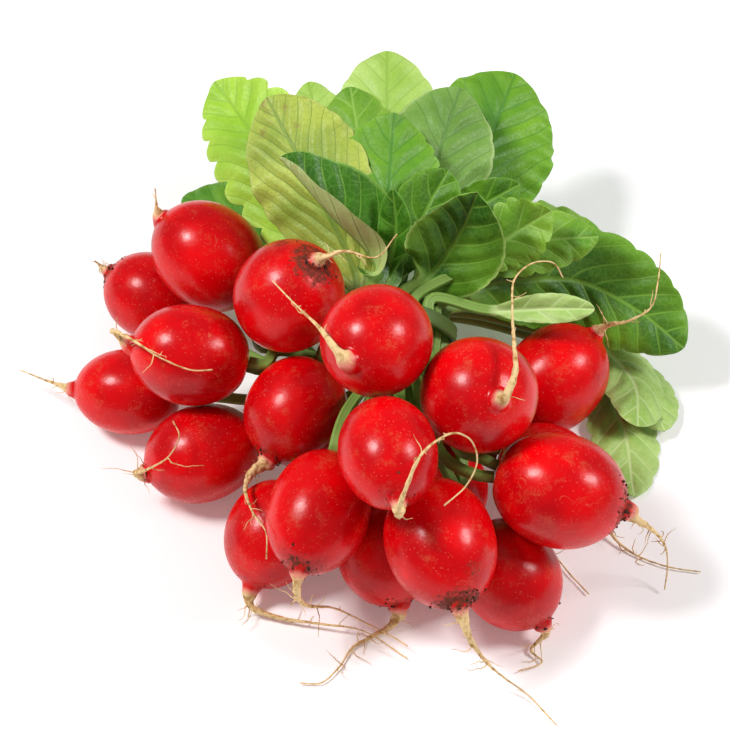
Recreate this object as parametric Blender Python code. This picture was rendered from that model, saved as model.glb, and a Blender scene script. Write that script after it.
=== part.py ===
"""A bunch of nineteen red radishes, tied by the stalks and lying on its side.

The radishes are heaped in front (-Y) with their roots pointing out. Every leaf is one
piece from the crown of its radish, through the band, to the tip of its blade (+Y).
Sizes are written in millimetres and turned into metres by MM.
"""
import math

import bmesh
import bpy
import numpy as np
from mathutils import Vector

MM = 0.001

# The tie: stalks lie in a honeycomb of slots inside one band.
TIE_CENTRE = (-2.0, 4.0, 34.0)
TIE_AXIS = (0.10, 0.93, 0.36)         # from the radishes towards the leaves
SLOT_ROWS = (5, 6, 7, 6, 5)           # slots in each row, lowest row first
SLOT_PITCH = 5.0
SLOT_RUN = 8.0                        # straight run of a stalk on each side of the band
BAND_WIDTH = 5.0
BAND_WALL = 1.4
BAND_PLAY = 0.8                       # between the outermost stalks and the band
BAND_SIDES = 28

# Stalk and blade.
STALK_RADIUS = 1.75
STALK_RINGS = 9
STALK_START = 1.5                     # clear of the crown it grew from
TWIN_SPREAD = 2.3                     # two stalks on one crown stand this far off its middle
BLADE_THICKNESS = 1.0
BLADE_STATIONS = (0.04, 0.14, 0.28, 0.43, 0.58, 0.73, 0.86, 0.95, 0.99)
BLADE_WIDEST = 1.35                   # exponent that puts the widest place past the middle
BLADE_FULLNESS = 0.55
LEAF_SIDES = 8
ROUTE_STEPS = 8                       # samples between two route points

# Radish.
BULB_SIDES = 12
BULB_STATIONS = (0.02, 0.08, 0.18, 0.32, 0.48, 0.64, 0.79, 0.90, 0.965)
BULB_POWER = 2.1
TAIL_SIDES = 6
TAIL_RINGS = 8
TAIL_START_RADIUS = 1.5
TAIL_END_RADIUS = 0.5

RADISHES = {
    # name: (middle, direction of the root, girth, length, route of the root after the bulb)
    "radish_01": ((-60, 32, 37), (-0.78, 0.41, 0.48), 32.3, 38, ((-76, 40, 50), (-76, 41, 58))),
    "radish_02": ((-80, 35.5, 14.3), (-0.86, 0.45, 0.25), 27.6, 31, ((-95, 43, 19), (-98, 44, 22))),
    "radish_03": ((-63.5, -11.5, 40.5), (-0.97, 0.0, 0.26), 30.2, 36, (
        (-85, -9, 47), (-86, -12, 52), (-80, -17, 54), (-71, -23, 52.5), (-62, -25.5, 50), (-56, -24.5, 49))),
    "radish_04": ((-84.5, -3.5, 13.5), (-1.0, 0.06, 0.0), 26.5, 33.6, ((-108, 1, 12), (-120, 9, 9))),
    "radish_05": ((-60.5, -29, 15), (-0.93, -0.36, -0.07), 29.3, 35.8, (
        (-80, -38, 17), (-76, -43, 25), (-69, -43, 31.5), (-66, -38, 34.5), (-68, -33, 35.5))),
    "radish_06": ((-32, -25.5, 31.5), (-0.47, -0.81, -0.35), 30, 33.3, (
        (-44.5, -45, 26.5), (-46, -56, 32), (-43, -69, 38), (-39, -79, 42), (-39, -84, 37))),
    "radish_07": ((-34, -1.5, 56), (0.46, -0.04, 0.89), 32.8, 35.2, (
        (-22, -4, 76), (-17, -4, 78), (-8, -5, 76.5), (-2, 0, 81))),
    "radish_08": ((-8, -34.5, 73.5), (-0.46, -0.78, 0.42), 31.5, 33.8, (
        (-20, -46, 85), (-24, -38, 83), (-31, -24, 77), (-38, -12, 74))),
    "radish_09": ((-24.5, -68.5, 38.5), (-0.27, -0.95, -0.15), 29.3, 38, (
        (-30.5, -91, 31), (-28, -88, 20), (-20, -83, 11), (-10.5, -85, 6), (-3, -89, 5), (1, -92, 5))),
    "radish_10": ((-5, -68, 65), (0.15, -0.98, 0.04), 27.7, 33.9, (
        (-2, -90, 66), (-2.5, -93, 72), (-0.5, -92, 80), (3, -87, 87), (8, -81, 87), (13, -77, 85),
        (17.5, -76, 80), (19, -79, 75), (16, -84, 71), (10, -90, 70))),
    "radish_11": ((10, -79.5, 38.5), (0.26, -0.94, -0.22), 31.6, 38.5, (
        (17, -103, 29), (22, -104, 17), (28, -103, 6), (35, -106, 1.5), (43, -116, 1))),
    "radish_12": ((21, -44.5, 61.5), (0.27, -0.67, 0.69), 33.4, 34.8, (
        (27.5, -58, 78), (30, -53, 82), (30, -44, 83), (30, -32, 84), (31, -22, 86), (36, -18, 88),
        (42, -17, 87), (45, -18, 82))),
    "radish_13": ((47, -2, 17.5), (0.67, 0.5, 0.55), 31.1, 37.8, (
        (63, 6, 34), (69, 1, 42), (75, 2, 47), (77, 8, 52), (78, 15, 57))),
    "radish_14": ((44, -63.5, 42), (0.95, -0.29, -0.09), 33.2, 38.8, (
        (66, -70, 37), (73, -68, 27), (77, -66, 16), (78, -67, 7), (77.5, -70, 2))),
    "radish_15": ((-38.5, -59, 15), (-0.36, -0.83, -0.43), 28.1, 32.9, (
        (-45, -77, 4), (-38, -80, 2.5), (-24, -83, 3), (-12, -86, 4), (1, -94, 1.5))),
    "radish_16": ((-5.5, -65.5, 15.2), (0.25, -0.86, -0.45), 28.8, 32.7, (
        (-3, -83, 3.5), (-9, -86, 1.2), (-15, -90, 1), (-19, -97, 1), (-24, -102, 1), (-30, -102, 1))),
    "radish_17": ((30.5, -74, 15.3), (0.57, -0.72, -0.40), 29.5, 34.2, (
        (41, -88, 5), (37, -91, 1.6), (40, -95, 1.2), (33, -98, 1))),
    "radish_18": ((43, -34.5, 14.5), (0.94, -0.26, -0.21), 27.2, 31.1, (
        (61, -43, 6), (63, -50, 2.5), (69, -56, 1), (79, -61, 1), (89, -63, 1))),
    "radish_19": ((10.5, -39.5, 14.8), (0.73, -0.52, -0.44), 28.2, 32.1, (
        (27, -50.5, 4), (36, -53, 2), (45, -57, 1.2), (50, -64, 1), (55, -71, 1))),
}

LEAVES = {
    # name: (radish, slot row, slot, route from the crown to the band,
    #        start, middle and tip of the blade, half width, upper side faces, fold in degrees)
    "leaf_01": ("radish_08", 4, 0, ((-1, -12, 59), (-12, -8, 47.5)),
                (-7, 14, 51), (-21, 22, 67), (-37, 32, 80), 15.5, (0.5, 0.1, 0.9), 48),
    "leaf_02": ("radish_08", 4, 1, ((6, -15, 59), (-4, -12, 44)),
                (-3.5, 17, 51), (-2, 20, 62), (-3, 26, 73), 5.5, (-0.4, -0.8, 0.4), 15),
    "leaf_03": ("radish_10", 4, 2, ((-8.5, -44.5, 57), (-6, -35, 50), (0, -20, 44)),
                (8.5, 15, 50), (15, 20, 65), (18, 21, 79), 16, (-0.1, -0.9, 0.3), 30),
    "leaf_04": ("radish_12", 4, 3, ((9, -22, 43), (4, -13, 40)),
                (19, 15, 50), (35, 23, 58), (45, 24, 66), 11, (0.2, -0.6, 0.8), 12),
    "leaf_05": ("radish_12", 4, 4, ((15, -23, 42), (9, -13, 39)),
                (26, 6, 41), (43, 3, 45), (58, 2, 46), 9, (0.1, -0.6, 0.8), 12),
    "leaf_06": ("radish_07", 3, 0, ((-42, 1, 29), (-25, 2, 37.5)),
                (-14, 16, 45), (-28, 40, 63), (-42, 65, 74), 19, (-0.3, -0.45, 0.85), -14),
    "leaf_07": ("radish_06", 3, 1, ((-20, -9, 41), (-16, -10, 39)),
                (-6, 21, 47), (-4, 40, 62), (-2, 60, 72), 17, (0.1, -0.7, 0.7), -10),
    "leaf_08": ("radish_09", 3, 2, ((-17, -38, 45), (-7, -13, 37)),
                (1, 22, 48), (8, 32, 60), (14, 40, 67), 11, (0, -0.8, 0.6), 12),
    "leaf_09": ("radish_11", 3, 3, ((0, -50, 46), (-1, -16, 36)),
                (11, 25, 46), (23, 34, 56), (36, 39, 62), 8, (0.1, -0.7, 0.7), 10),
    "leaf_10": ("radish_14", 3, 4, ((12, -53, 43), (4, -16, 36)),
                (17, 18, 47), (41, 24, 52), (60, 24, 54), 10, (0.2, -0.5, 0.8), -8),
    "leaf_11": ("radish_14", 3, 5, ((16, -47, 40), (11, -20, 35)),
                (52, 25, 34), (73, 17, 29), (88, 8, 21), 18, (0.1, -0.75, 0.66), -6),
    "leaf_12": ("radish_01", 2, 0, ((-35, 15, 23), (-24, -2, 26)),
                (-21, 23, 38), (-41, 58, 53), (-60, 89, 58), 19, (-0.2, -0.6, 0.75), -8),
    "leaf_13": ("radish_03", 2, 1, ((-38, -7, 37), (-18, -6, 31)),
                (-15, 32, 38), (-24, 68, 45), (-30, 99, 49), 13.5, (0, -0.6, 0.8), -6),
    "leaf_14": ("radish_06", 2, 2, ((-18, -8, 36), (-12, -9, 32)),
                (-7, 34, 43), (-12, 58, 54), (-16, 84, 60), 14.5, (0, -0.7, 0.7), -6),
    "leaf_15": ("radish_09", 2, 3, ((-14, -38, 38), (-6, -14, 31)),
                (3, 34, 44), (12, 57, 58), (19, 78, 66), 18, (0.05, -0.75, 0.65), -8),
    "leaf_16": ("radish_11", 2, 4, ((4, -47, 40), (2, -17, 31)),
                (13, 30, 39), (23, 42, 41), (34, 55, 41), 8, (0.1, -0.6, 0.8), -6),
    "leaf_17": ("radish_17", 2, 5, ((12, -47, 31.5), (7, -16, 30)),
                (22, 26, 34), (45, 38, 34), (63, 49, 28), 13, (0.2, -0.5, 0.85), -6),
    "leaf_18": ("radish_18", 2, 6, ((19, -27, 24), (14, -18, 27)),
                (60, 21, 11), (73, 4, 9.5), (73, -15, 11), 11, (0.3, -0.2, 0.9), -8),
    "leaf_19": ("radish_02", 1, 0, ((-51, 18, 8), (-26, -3, 20)),
                (-25, 28, 26), (-47, 60, 22), (-72, 81, 13), 14.5, (-0.1, -0.3, 0.95), -6),
    "leaf_20": ("radish_03", 1, 1, ((-37, -7, 30), (-17, -6, 25)),
                (-16, 36, 29), (-33, 66, 36), (-47, 95, 38), 15.5, (-0.1, -0.4, 0.9), -6),
    "leaf_21": ("radish_15", 1, 2, ((-22, -39, 23), (-14, -28, 26)),
                (-3, 45, 35), (-4, 78, 46), (-4, 110, 52), 18, (0, -0.6, 0.8), -6),
    "leaf_22": ("radish_16", 1, 3, ((-9, -38, 30), (-3, -20, 29)),
                (12, 42, 34), (27, 70, 46), (38, 98, 54), 22.5, (0.1, -0.6, 0.8), -6),
    "leaf_23": ("radish_17", 1, 4, ((17, -42, 31), (8, -16, 25)),
                (20, 36, 25), (45, 52, 22), (66, 62, 16), 15.5, (0.2, -0.3, 0.9), -6),
    "leaf_24": ("radish_13", 1, 5, ((23, -16, 5), (13, -10, 22)),
                (60, 20, 6.8), (76, 4, 5.8), (82, -12, 5), 11, (0.2, -0.1, 0.95), -6),
    "leaf_25": ("radish_04", 0, 0, ((-30, -9, 16), (-18, -5, 20)),
                (-20, 32, 16), (-40, 50, 11), (-58, 68, 4), 15.5, (0, 0, 1), -5),
    "leaf_26": ("radish_05", 0, 1, ((-35, -18, 16), (-14, -8, 19)),
                (-12, 40, 18), (-24, 66, 17), (-32, 92, 9), 15.5, (0, 0, 1), -5),
    "leaf_27": ("radish_16", 0, 2, ((-13, -37, 22), (-7, -13, 21)),
                (0, 44, 20), (0, 72, 22), (-1, 100, 16), 17, (0, 0, 1), -5),
    "leaf_28": ("radish_19", 0, 3, ((-6, -23, 25), (0, -9, 22)),
                (10, 38, 18), (24, 66, 16), (34, 92, 8), 15.5, (0, 0, 1), -5),
    "leaf_29": ("radish_18", 0, 4, ((14, -20, 17), (9, -11, 19)),
                (59, 18, 3), (69, -8, 2.6), (71, -36, 2.2), 11, (0.1, 0, 1), -4),
}

COLOURS = {
    # name: (linear colour, roughness)
    "skin": ((0.62, 0.012, 0.016, 1.0), 0.35),
    "leaf": ((0.16, 0.34, 0.03, 1.0), 0.55),
    "band": ((0.42, 0.30, 0.14, 1.0), 0.60),
}


def clear_scene():
    """Start from an empty scene."""
    for thing in list(bpy.data.objects):
        bpy.data.objects.remove(thing, do_unlink=True)


def unit(vector):
    """Return the vector at length one."""
    vector = np.asarray(vector, float)
    return vector / np.linalg.norm(vector)


def smooth_route(points):
    """Return a dense curve through the points, with even tangents at each of them."""
    points = np.asarray(points, float)
    spans = np.sqrt(np.linalg.norm(np.diff(points, axis=0), axis=1))
    knots = np.concatenate([[0.0], np.cumsum(spans)])
    padded = np.vstack([2 * points[0] - points[1], points, 2 * points[-1] - points[-2]])
    gaps = np.concatenate([spans[:1], spans, spans[-1:]])
    slopes = np.diff(padded, axis=0) / gaps[:, None]
    before, after = gaps[:-1, None], gaps[1:, None]
    tangents = (slopes[:-1] * after + slopes[1:] * before) / (before + after)
    at = np.linspace(0.0, knots[-1], ROUTE_STEPS * len(points) + 1)
    k = np.clip(np.searchsorted(knots, at, side="right") - 1, 0, len(points) - 2)
    h = spans[k][:, None]
    s = ((at - knots[k]) / spans[k])[:, None]
    return ((2 * s**3 - 3 * s**2 + 1) * points[k] + (s**3 - 2 * s**2 + s) * h * tangents[k]
            + (3 * s**2 - 2 * s**3) * points[k + 1] + (s**3 - s**2) * h * tangents[k + 1])


def along(curve, distances):
    """Return the points of a dense curve at the given distances along it."""
    steps = np.linalg.norm(np.diff(curve, axis=0), axis=1)
    run = np.concatenate([[0.0], np.cumsum(steps)])
    return np.stack([np.interp(distances, run, curve[:, i]) for i in range(3)], axis=1)


def distance_to(curve, point):
    """Return how far along a dense curve the point lies."""
    steps = np.linalg.norm(np.diff(curve, axis=0), axis=1)
    run = np.concatenate([[0.0], np.cumsum(steps)])
    return run[np.argmin(np.linalg.norm(curve - np.asarray(point, float), axis=1))]


def headings(points):
    """Return the unit direction of travel at each point."""
    ahead = np.gradient(points, axis=0)
    return ahead / np.linalg.norm(ahead, axis=1)[:, None]


def tie_frame():
    """Return the tie's axis, its sideways direction and its upward direction."""
    axis = unit(TIE_AXIS)
    side = unit(np.array([1.0, 0.0, 0.0]) - axis * axis[0])
    return axis, side, np.cross(side, axis)


def slot_place(row, slot):
    """Return the middle of one slot in the honeycomb."""
    axis, side, up = tie_frame()
    across = (slot - (SLOT_ROWS[row] - 1) / 2) * SLOT_PITCH
    height = (row - (len(SLOT_ROWS) - 1) / 2) * SLOT_PITCH * math.sin(math.radians(60))
    return np.array(TIE_CENTRE) + side * across + up * height


def add_object(name, rings, closing, colour):
    """Make one closed piece from rings of points and a list of faces across its two ends."""
    mesh = bpy.data.meshes.new(name)
    work = bmesh.new()
    rows = [[work.verts.new(Vector(p) * MM) for p in ring] for ring in rings]
    for first, second in zip(rows[:-1], rows[1:]):
        bridge(work, first, second)
    for row, backwards in closing(rows):
        work.faces.new(row[::-1] if backwards else row)
    bmesh.ops.recalc_face_normals(work, faces=work.faces)
    work.to_mesh(mesh)
    work.free()
    mesh.shade_smooth()
    piece = bpy.data.objects.new(name, mesh)
    piece.data.materials.append(material(name, colour))
    bpy.context.scene.collection.objects.link(piece)
    return piece


def bridge(work, first, second):
    """Join two rings, where the second has as many points as the first, half as many or one."""
    count = len(first)
    for i in range(count):
        j = (i + 1) % count
        if len(second) == count:
            work.faces.new((first[i], first[j], second[j], second[i]))
        elif len(second) == 1:
            work.faces.new((first[i], first[j], second[0]))
        elif len(first) == 1:
            pass
        elif i % 2:
            work.faces.new((first[i], first[j], second[(j // 2) % len(second)], second[i // 2]))
        else:
            work.faces.new((first[i], first[j], second[i // 2]))
    if count == 1:
        for i in range(len(second)):
            work.faces.new((first[0], second[(i + 1) % len(second)], second[i]))


def both_ends(rows):
    """Close a tube with one face on each end, unless that end is already a point."""
    ends = ((rows[0], True), (rows[-1], False))
    return [(row, backwards) for row, backwards in ends if len(row) > 2]


def material(name, colour):
    """Return a Principled material for one piece."""
    shade, roughness = COLOURS[colour]
    result = bpy.data.materials.new(f"{name}_{colour}")
    result.use_nodes = True
    shader = result.node_tree.nodes["Principled BSDF"]
    shader.inputs["Base Color"].default_value = shade
    shader.inputs["Roughness"].default_value = roughness
    return result


def circle(middle, side, up, radius, sides):
    """Return points evenly round a circle."""
    turns = np.arange(sides) * (2 * math.pi / sides)
    return middle + radius * (np.cos(turns)[:, None] * side + np.sin(turns)[:, None] * up)


def bulb_radius(station, girth):
    """Return the radius of a bulb at a fraction of its length: an oval with blunt ends."""
    off = abs(2 * station - 1)
    return girth / 2 * math.sqrt(1 - off**BULB_POWER)


def carried_frames(directions, first_side):
    """Carry a sideways direction along a path without letting it twist."""
    sides = []
    side = np.asarray(first_side, float)
    for heading in directions:
        side = unit(side - heading * (side @ heading))
        sides.append(side)
    return sides


def add_radish(name, middle, direction, girth, length, root):
    """Make a bulb with its root as one solid."""
    middle, axis = np.array(middle, float), unit(direction)
    crown = middle - axis * length / 2
    side = unit(np.cross(axis, (0.0, 0.1, 1.0)))
    up = np.cross(axis, side)
    rings = [[crown]]
    for station in BULB_STATIONS:
        rings.append(circle(crown + axis * length * station, side, up, bulb_radius(station, girth), BULB_SIDES))
    base = crown + axis * length * 1.02
    curve = smooth_route([crown + axis * length * 0.9, base, *root])
    start = distance_to(curve, base)
    run = np.linalg.norm(np.diff(curve, axis=0), axis=1).sum()
    places = along(curve, np.linspace(start, run, TAIL_RINGS))
    directions = headings(places)
    radii = np.linspace(TAIL_START_RADIUS, TAIL_END_RADIUS, TAIL_RINGS)
    for place, heading, carried, radius in zip(places, directions, carried_frames(directions, side), radii):
        rings.append(circle(place, carried, np.cross(heading, carried), radius, TAIL_SIDES))
    return add_object(name, rings, both_ends, "skin")


def blade_width(station):
    """Return the fraction of the half width at a fraction of the blade's length."""
    return math.sin(math.pi * station**BLADE_WIDEST)**BLADE_FULLNESS


def leaf_route(name):
    """Return a leaf's route points, from its crown to its tip."""
    radish, row, slot, vias, start, middle, tip = LEAVES[name][:7]
    centre, direction, _, length, _ = RADISHES[radish]
    axis = unit(direction)
    crown = np.array(centre, float) - axis * (length / 2 + STALK_START)
    twins = [key for key, leaf in LEAVES.items() if leaf[0] == radish]
    offset = np.zeros(3)
    if len(twins) == 2:
        other = twins[1 - twins.index(name)]
        apart = slot_place(row, slot) - slot_place(*LEAVES[other][1:3])
        offset = unit(apart - axis * (apart @ axis)) * TWIN_SPREAD
    band_axis = tie_frame()[0]
    place = slot_place(row, slot)
    return [crown + offset, crown + offset * 1.2 - axis * 3, *vias,
            place - band_axis * SLOT_RUN, place, place + band_axis * SLOT_RUN, start, middle, tip]


def leaf_section(middle, side, up, half_width, depth, fold):
    """Return one section across a leaf: round in the stalk, thin and folded in the blade."""
    turns = math.pi - np.arange(LEAF_SIDES) * (2 * math.pi / LEAF_SIDES)
    out = np.cos(turns)
    across = out * half_width * math.cos(fold)
    lift = np.abs(out)**1.4 * half_width * math.sin(fold) + depth / 2 * np.sin(turns)
    return middle + across[:, None] * side + lift[:, None] * up


def add_leaf(name):
    """Make a stalk and its blade as one solid."""
    start, tip, half_width, faces, fold = (LEAVES[name][i] for i in (4, 6, 7, 8, 9))
    curve = smooth_route(leaf_route(name))
    blade_start = distance_to(curve, start)
    run = np.linalg.norm(np.diff(curve, axis=0), axis=1).sum()
    stalk = np.linspace(0.0, blade_start, STALK_RINGS, endpoint=False)
    blade = blade_start + np.array(BLADE_STATIONS) * (run - blade_start)
    places = along(curve, np.concatenate([stalk, blade]))
    directions = headings(places)
    sides = np.zeros_like(places)
    sides[STALK_RINGS:] = [unit(np.cross(heading, faces)) for heading in directions[STALK_RINGS:]]
    back = carried_frames(directions[:STALK_RINGS][::-1], sides[STALK_RINGS])
    sides[:STALK_RINGS] = back[::-1]
    rings = []
    for i, (place, heading, side) in enumerate(zip(places, directions, sides)):
        station = BLADE_STATIONS[i - STALK_RINGS] if i >= STALK_RINGS else 0.0
        width = max(STALK_RADIUS, half_width * blade_width(station))
        thinning = min(1.0, station / 0.43)
        depth = 2 * STALK_RADIUS * (1 - thinning) + BLADE_THICKNESS * thinning
        bend = math.radians(fold) * min(1.0, station / 0.28)
        rings.append(leaf_section(place, side, np.cross(side, heading), width, depth, bend))
    return add_object(name, rings, both_ends, "leaf")


def add_band():
    """Make the band round the stalks."""
    axis, side, up = tie_frame()
    corner = slot_place(len(SLOT_ROWS) // 2, 0)
    inner = np.linalg.norm(corner - np.array(TIE_CENTRE)) + STALK_RADIUS + BAND_PLAY
    profile = ((inner, -1), (inner + BAND_WALL, -1), (inner + BAND_WALL, 1), (inner, 1))
    rings = []
    for radius, end in (*profile, profile[0]):
        middle = np.array(TIE_CENTRE) + axis * end * BAND_WIDTH / 2
        rings.append(circle(middle, side, up, radius, BAND_SIDES))
    piece = add_object("band", rings, lambda rows: (), "band")
    work = bmesh.new()
    work.from_mesh(piece.data)
    bmesh.ops.remove_doubles(work, verts=work.verts, dist=1e-6)
    bmesh.ops.recalc_face_normals(work, faces=work.faces)
    work.to_mesh(piece.data)
    work.free()
    return piece


def stand_on_origin(pieces):
    """Carry the pieces on one empty that puts the bottom middle of their box at the origin."""
    points = np.array([vertex.co for piece in pieces for vertex in piece.data.vertices])
    low, high = points.min(axis=0), points.max(axis=0)
    carrier = bpy.data.objects.new("bunch", None)
    bpy.context.scene.collection.objects.link(carrier)
    carrier.location = (-(low[0] + high[0]) / 2, -(low[1] + high[1]) / 2, -low[2])
    for piece in pieces:
        piece.parent = carrier


def main():
    """Build the bunch."""
    clear_scene()
    pieces = [add_radish(name, *row) for name, row in RADISHES.items()]
    pieces += [add_leaf(name) for name in LEAVES]
    pieces.append(add_band())
    stand_on_origin(pieces)


main()
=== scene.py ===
"""A bunch of nineteen red radishes, tied by the stalks and lying on its side.

Every radish is one swept surface that runs from its crown over the bulb into its root. Every
leaf is one closed shell that runs from the crown, through the band, to the tip of its blade.
Rows are written in millimetres, in the bunch's own frame, and put in place by the band's box.
"""
import logging
import math
from dataclasses import dataclass
from enum import Enum
from functools import partial
from typing import Any

import bpy
import numpy as np
from mathutils import Euler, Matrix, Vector


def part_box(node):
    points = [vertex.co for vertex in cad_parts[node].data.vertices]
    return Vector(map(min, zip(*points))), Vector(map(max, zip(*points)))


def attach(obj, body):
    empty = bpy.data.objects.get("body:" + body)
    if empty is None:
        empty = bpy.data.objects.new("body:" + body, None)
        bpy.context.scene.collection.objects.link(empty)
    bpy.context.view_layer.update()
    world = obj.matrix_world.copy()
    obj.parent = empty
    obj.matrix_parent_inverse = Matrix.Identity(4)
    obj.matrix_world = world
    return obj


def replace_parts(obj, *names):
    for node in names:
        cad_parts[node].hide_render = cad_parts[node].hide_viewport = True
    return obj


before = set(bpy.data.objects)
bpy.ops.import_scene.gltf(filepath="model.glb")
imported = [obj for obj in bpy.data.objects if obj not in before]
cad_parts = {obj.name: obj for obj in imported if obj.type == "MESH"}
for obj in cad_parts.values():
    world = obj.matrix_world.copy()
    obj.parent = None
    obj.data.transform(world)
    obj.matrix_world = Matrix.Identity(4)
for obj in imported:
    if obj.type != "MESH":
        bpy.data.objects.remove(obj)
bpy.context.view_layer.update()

LOG = logging.getLogger("radish_bunch")
MM = 0.001
ROOT_BODY = "root"

# The tie: the stalks lie in a honeycomb of slots inside one band.
TIE_CENTRE = (-2.0, 4.0, 34.0)
TIE_AXIS = (0.10, 0.93, 0.36)
SLOT_ROWS = (5, 6, 7, 6, 5)
SLOT_PITCH = 5.0
SLOT_RUN = 8.0
STALK_RADIUS = 1.75

# The box that the fine side roots stay inside, just above the surface.
HAIR_ROOM_LOW = (-121.0, -117.0, 0.3)
HAIR_ROOM_HIGH = (92.5, 110.0, 89.8)

SHIFT = np.array(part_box("band"), float).reshape(2, 3).mean(axis=0) - np.array(TIE_CENTRE) * MM


def unit(vectors: Any) -> np.ndarray:
    """Return the vectors at length one."""
    vectors = np.asarray(vectors, float)
    return vectors / np.linalg.norm(vectors, axis=-1, keepdims=True)


def ease(values: np.ndarray, low: float, high: float) -> np.ndarray:
    """Return 0 below low, 1 above high and 3t^2 - 2t^3 between them."""
    t = np.clip((np.asarray(values, float) - low) / (high - low), 0.0, 1.0)
    return t * t * (3 - 2 * t)


def ripple(seed: int, *coordinates: np.ndarray) -> np.ndarray:
    """Return soft noise of about -1 to 1: the mean of five sine waves with seeded directions.

    Args:
        seed: Picks the waves.
        coordinates: Arrays of one shape, already divided by the size of a ripple.

    Returns:
        An array of that shape.
    """
    draw = np.random.default_rng(seed)
    total = np.zeros(np.broadcast(*coordinates).shape)
    for _ in range(5):
        phase = draw.uniform(0, 2 * math.pi)
        total = total + np.sin(phase + sum(2.2 * draw.normal() * c for c in coordinates))
    return total / 2.5


def smooth_route(points: Any, steps: int = 40) -> np.ndarray:
    """Return a dense curve through the points: cubic spans with even slopes where they meet.

    Args:
        points: The points, in order.
        steps: Samples for each point.

    Returns:
        The curve's points.
    """
    points = np.asarray(points, float)
    spans = np.sqrt(np.linalg.norm(np.diff(points, axis=0), axis=1))
    knots = np.concatenate([[0.0], np.cumsum(spans)])
    padded = np.vstack([2 * points[0] - points[1], points, 2 * points[-1] - points[-2]])
    gaps = np.concatenate([spans[:1], spans, spans[-1:]])
    slopes = np.diff(padded, axis=0) / gaps[:, None]
    before, after = gaps[:-1, None], gaps[1:, None]
    tangents = (slopes[:-1] * after + slopes[1:] * before) / (before + after)
    at = np.linspace(0.0, knots[-1], steps * len(points) + 1)
    k = np.clip(np.searchsorted(knots, at, side="right") - 1, 0, len(points) - 2)
    h = spans[k][:, None]
    s = ((at - knots[k]) / spans[k])[:, None]
    return ((2 * s**3 - 3 * s**2 + 1) * points[k] + (s**3 - 2 * s**2 + s) * h * tangents[k]
            + (3 * s**2 - 2 * s**3) * points[k + 1] + (s**3 - s**2) * h * tangents[k + 1])


def run_of(curve: np.ndarray) -> np.ndarray:
    """Return how far along a dense curve each of its points lies."""
    return np.concatenate([[0.0], np.cumsum(np.linalg.norm(np.diff(curve, axis=0), axis=1))])


def along(curve: np.ndarray, distances: np.ndarray) -> np.ndarray:
    """Return the points of a dense curve at the given distances along it."""
    run = run_of(curve)
    return np.stack([np.interp(distances, run, curve[:, i]) for i in range(3)], axis=1)


def distance_to(curve: np.ndarray, point: Any) -> float:
    """Return how far along a dense curve the point lies."""
    return float(run_of(curve)[np.argmin(np.linalg.norm(curve - np.asarray(point, float), axis=1))])


def carried(directions: np.ndarray, first: np.ndarray) -> np.ndarray:
    """Carry a sideways direction along a path without letting it twist.

    Args:
        directions: The path's direction at each ring.
        first: The sideways direction at its start.

    Returns:
        The sideways direction at each ring.
    """
    sides, side = np.empty_like(directions), np.asarray(first, float)
    for i, heading in enumerate(directions):
        side = unit(side - heading * (side @ heading))
        sides[i] = side
    return sides


def tie_frame() -> tuple[np.ndarray, np.ndarray, np.ndarray]:
    """Return the tie's axis, its sideways direction and its upward direction."""
    axis = unit(TIE_AXIS)
    side = unit(np.array([1.0, 0.0, 0.0]) - axis * axis[0])
    return axis, side, np.cross(side, axis)


def slot_place(row: int, slot: int) -> np.ndarray:
    """Return the middle of one slot in the honeycomb."""
    _, side, up = tie_frame()
    across = (slot - (SLOT_ROWS[row] - 1) / 2) * SLOT_PITCH
    height = (row - (len(SLOT_ROWS) - 1) / 2) * SLOT_PITCH * math.sin(math.radians(60))
    return np.array(TIE_CENTRE) + side * across + up * height


@dataclass
class Shell:
    """Closed surfaces in the bunch's frame, with values held at their points."""

    points: np.ndarray
    faces: list[list[int]]
    values: dict[str, np.ndarray]

    @classmethod
    def from_rings(cls, rings: np.ndarray, values: dict[str, np.ndarray]) -> "Shell":
        """Join rings into tubes closed at both ends, with faces outwards.

        Args:
            rings: Points as (ring, point, 3), or (tube, ring, point, 3) for many tubes. Each ring
                turns counter-clockwise as seen from the next one.
            values: Vectors held at the points, in the same order.

        Returns:
            The closed shell.
        """
        tubes = rings if rings.ndim == 4 else rings[None]
        count, length, sides = tubes.shape[:3]
        ids = np.arange(count * length * sides).reshape(count, length, sides)
        after = np.roll(ids, -1, axis=2)
        quads = np.stack([ids[:, :-1], after[:, :-1], after[:, 1:], ids[:, 1:]], axis=-1)
        faces = quads.reshape(-1, 4).tolist() + ids[:, 0, ::-1].tolist() + ids[:, -1].tolist()
        return cls(tubes.reshape(-1, 3), faces, {k: v.reshape(-1, 3) for k, v in values.items()})

    def joined(self, other: "Shell") -> "Shell":
        """Return both shells as one, with their faces numbered on."""
        step = len(self.points)
        moved = [[i + step for i in face] for face in other.faces]
        values = {k: np.vstack([v, other.values[k]]) for k, v in self.values.items()}
        return Shell(np.vstack([self.points, other.points]), self.faces + moved, values)

    def put(self, name: str, finish: bpy.types.Material) -> bpy.types.Object:
        """Make the shell an object that rides on the bunch's one body.

        Args:
            name: The piece's name.
            finish: Its material.

        Returns:
            The object, at the origin, with its place in its mesh.
        """
        mesh = bpy.data.meshes.new(name)
        mesh.from_pydata((self.points * MM + SHIFT).tolist(), [], self.faces)
        for key, value in self.values.items():
            layer = mesh.attributes.new(key, "FLOAT_VECTOR", "POINT")
            layer.data.foreach_set("vector", value.astype(np.float32).ravel())
        mesh.shade_smooth()
        mesh.materials.append(finish)
        piece = bpy.data.objects.new(name, mesh)
        bpy.context.scene.collection.objects.link(piece)
        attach(piece, ROOT_BODY)
        LOG.info("%s: %d faces", name, len(mesh.polygons))
        return piece


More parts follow.
